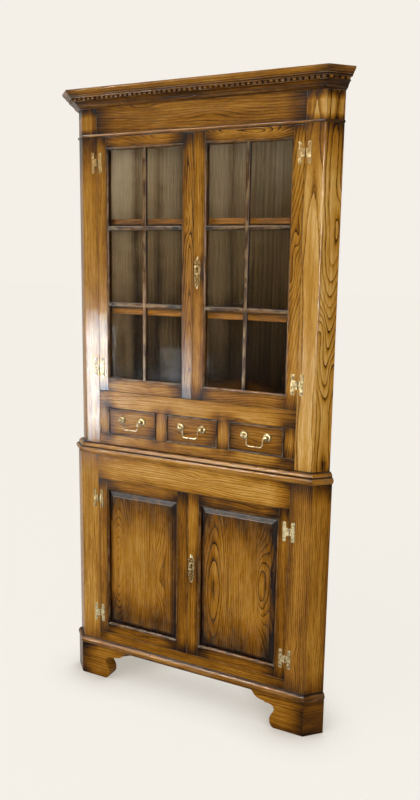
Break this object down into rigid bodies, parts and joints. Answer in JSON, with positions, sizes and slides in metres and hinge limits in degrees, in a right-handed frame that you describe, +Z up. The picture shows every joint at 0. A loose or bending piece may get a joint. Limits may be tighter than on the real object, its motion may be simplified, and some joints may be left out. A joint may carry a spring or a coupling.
{
  "type": "glazed corner cabinet",
  "caption": "Two-stage oak corner cabinet: glazed doors over drawers with swan-neck handles, panelled doors on bracket feet, dentil cornice, brass H hinges.",
  "frame": {"origin": "on the floor, at the middle of the cabinet's plan box", "axes": "+Z up, the cabinet's front faces -Y, its two back walls run at 45 degrees to a rear corner at +Y"},
  "size_m": [0.9558, 0.5344, 1.95],
  "materials": {
    "aged_oak": "satin wax over a burnished dark stain",
    "back_boards": "matt stained boards",
    "antique_brass": "aged satin",
    "lock_steel": "dull",
    "clear_glass": "clear polished"
  },
  "bodies": {
    "cabinet": {"bracket_plinth": "aged_oak", "cornice": "aged_oak", "cupboard_floor": "aged_oak", "cupboard_shelf": "aged_oak", "cupboard_top_rail": "aged_oak", "display_floor": "aged_oak", "display_shelf_high": "aged_oak", "display_shelf_low": "aged_oak", "drawer_deck": "aged_oak", "drawer_face_frame": "aged_oak", "frieze_rail": "aged_oak", "lower_back_left": "back_boards", "lower_back_right": "back_boards", "lower_left_bottom_hinge_frame_leaf": "antique_brass", "lower_left_top_hinge_frame_leaf": "antique_brass", "lower_post_left": "aged_oak", "lower_post_right": "aged_oak", "lower_right_bottom_hinge_frame_leaf": "antique_brass", "lower_right_top_hinge_frame_leaf": "antique_brass", "upper_back_left": "back_boards", "upper_back_right": "back_boards", "upper_left_bottom_hinge_frame_leaf": "antique_brass", "upper_left_top_hinge_frame_leaf": "antique_brass", "upper_post_left": "aged_oak", "upper_post_right": "aged_oak", "upper_right_bottom_hinge_frame_leaf": "antique_brass", "upper_right_top_hinge_frame_leaf": "antique_brass", "waist_board": "aged_oak"},
    "upper_left_door": {"upper_door_frame_left": "aged_oak", "upper_door_glass_left": "clear_glass", "upper_left_bottom_hinge_door_leaf": "antique_brass", "upper_left_top_hinge_door_leaf": "antique_brass"},
    "upper_right_door": {"upper_door_frame_right": "aged_oak", "upper_door_glass_right": "clear_glass", "upper_escutcheon": "antique_brass", "upper_right_bottom_hinge_door_leaf": "antique_brass", "upper_right_top_hinge_door_leaf": "antique_brass"},
    "upper_lock_bolt": {"upper_lock_bolt": "lock_steel"},
    "lower_left_door": {"lower_door_frame_left": "aged_oak", "lower_door_panel_left": "aged_oak", "lower_left_bottom_hinge_door_leaf": "antique_brass", "lower_left_top_hinge_door_leaf": "antique_brass"},
    "lower_right_door": {"lower_door_frame_right": "aged_oak", "lower_door_panel_right": "aged_oak", "lower_escutcheon": "antique_brass", "lower_right_bottom_hinge_door_leaf": "antique_brass", "lower_right_top_hinge_door_leaf": "antique_brass"},
    "lower_lock_bolt": {"lower_lock_bolt": "lock_steel"},
    "left_drawer": {"drawer_left": "aged_oak", "handle_left_rose_left": "antique_brass", "handle_left_rose_right": "antique_brass"},
    "left_handle": {"handle_left_bail": "antique_brass"},
    "middle_drawer": {"drawer_middle": "aged_oak", "handle_middle_rose_left": "antique_brass", "handle_middle_rose_right": "antique_brass"},
    "middle_handle": {"handle_middle_bail": "antique_brass"},
    "right_drawer": {"drawer_right": "aged_oak", "handle_right_rose_left": "antique_brass", "handle_right_rose_right": "antique_brass"},
    "right_handle": {"handle_right_bail": "antique_brass"}
  },
  "joints": [
    {"name": "upper_left_door_hinge", "type": "hinge", "parent": "cabinet", "child": "upper_left_door", "pos_m": [-0.3449, -0.21825, 1.0134], "axis": [0, 0, -1], "range_deg": [0, 150]},
    {"name": "upper_right_door_hinge", "type": "hinge", "parent": "cabinet", "child": "upper_right_door", "pos_m": [0.3449, -0.21825, 1.0134], "axis": [0, 0, 1], "range_deg": [0, 150]},
    {"name": "upper_lock_bolt_slide", "type": "slide", "parent": "upper_right_door", "child": "upper_lock_bolt", "axis": [-1, 0, 0], "range_m": [0, 0.007]},
    {"name": "lower_left_door_hinge", "type": "hinge", "parent": "cabinet", "child": "lower_left_door", "pos_m": [-0.3414, -0.23675, 0.1677], "axis": [0, 0, -1], "range_deg": [0, 150]},
    {"name": "lower_right_door_hinge", "type": "hinge", "parent": "cabinet", "child": "lower_right_door", "pos_m": [0.3414, -0.23675, 0.1677], "axis": [0, 0, 1], "range_deg": [0, 150]},
    {"name": "lower_lock_bolt_slide", "type": "slide", "parent": "lower_right_door", "child": "lower_lock_bolt", "axis": [-1, 0, 0], "range_m": [0, 0.007]},
    {"name": "left_drawer_slide", "type": "slide", "parent": "cabinet", "child": "left_drawer", "axis": [0, -1, 0], "range_m": [0, 0.1]},
    {"name": "left_handle_swing", "type": "hinge", "parent": "left_drawer", "child": "left_handle", "pos_m": [-0.2195, -0.22695, 0.9225], "axis": [-1, 0, 0], "range_deg": [-15, 95]},
    {"name": "middle_drawer_slide", "type": "slide", "parent": "cabinet", "child": "middle_drawer", "axis": [0, -1, 0], "range_m": [0, 0.22]},
    {"name": "middle_handle_swing", "type": "hinge", "parent": "middle_drawer", "child": "middle_handle", "pos_m": [0, -0.22695, 0.9225], "axis": [-1, 0, 0], "range_deg": [-15, 95]},
    {"name": "right_drawer_slide", "type": "slide", "parent": "cabinet", "child": "right_drawer", "axis": [0, -1, 0], "range_m": [0, 0.1]},
    {"name": "right_handle_swing", "type": "hinge", "parent": "right_drawer", "child": "right_handle", "pos_m": [0.2195, -0.22695, 0.9225], "axis": [-1, 0, 0], "range_deg": [-15, 95]}
  ]
}
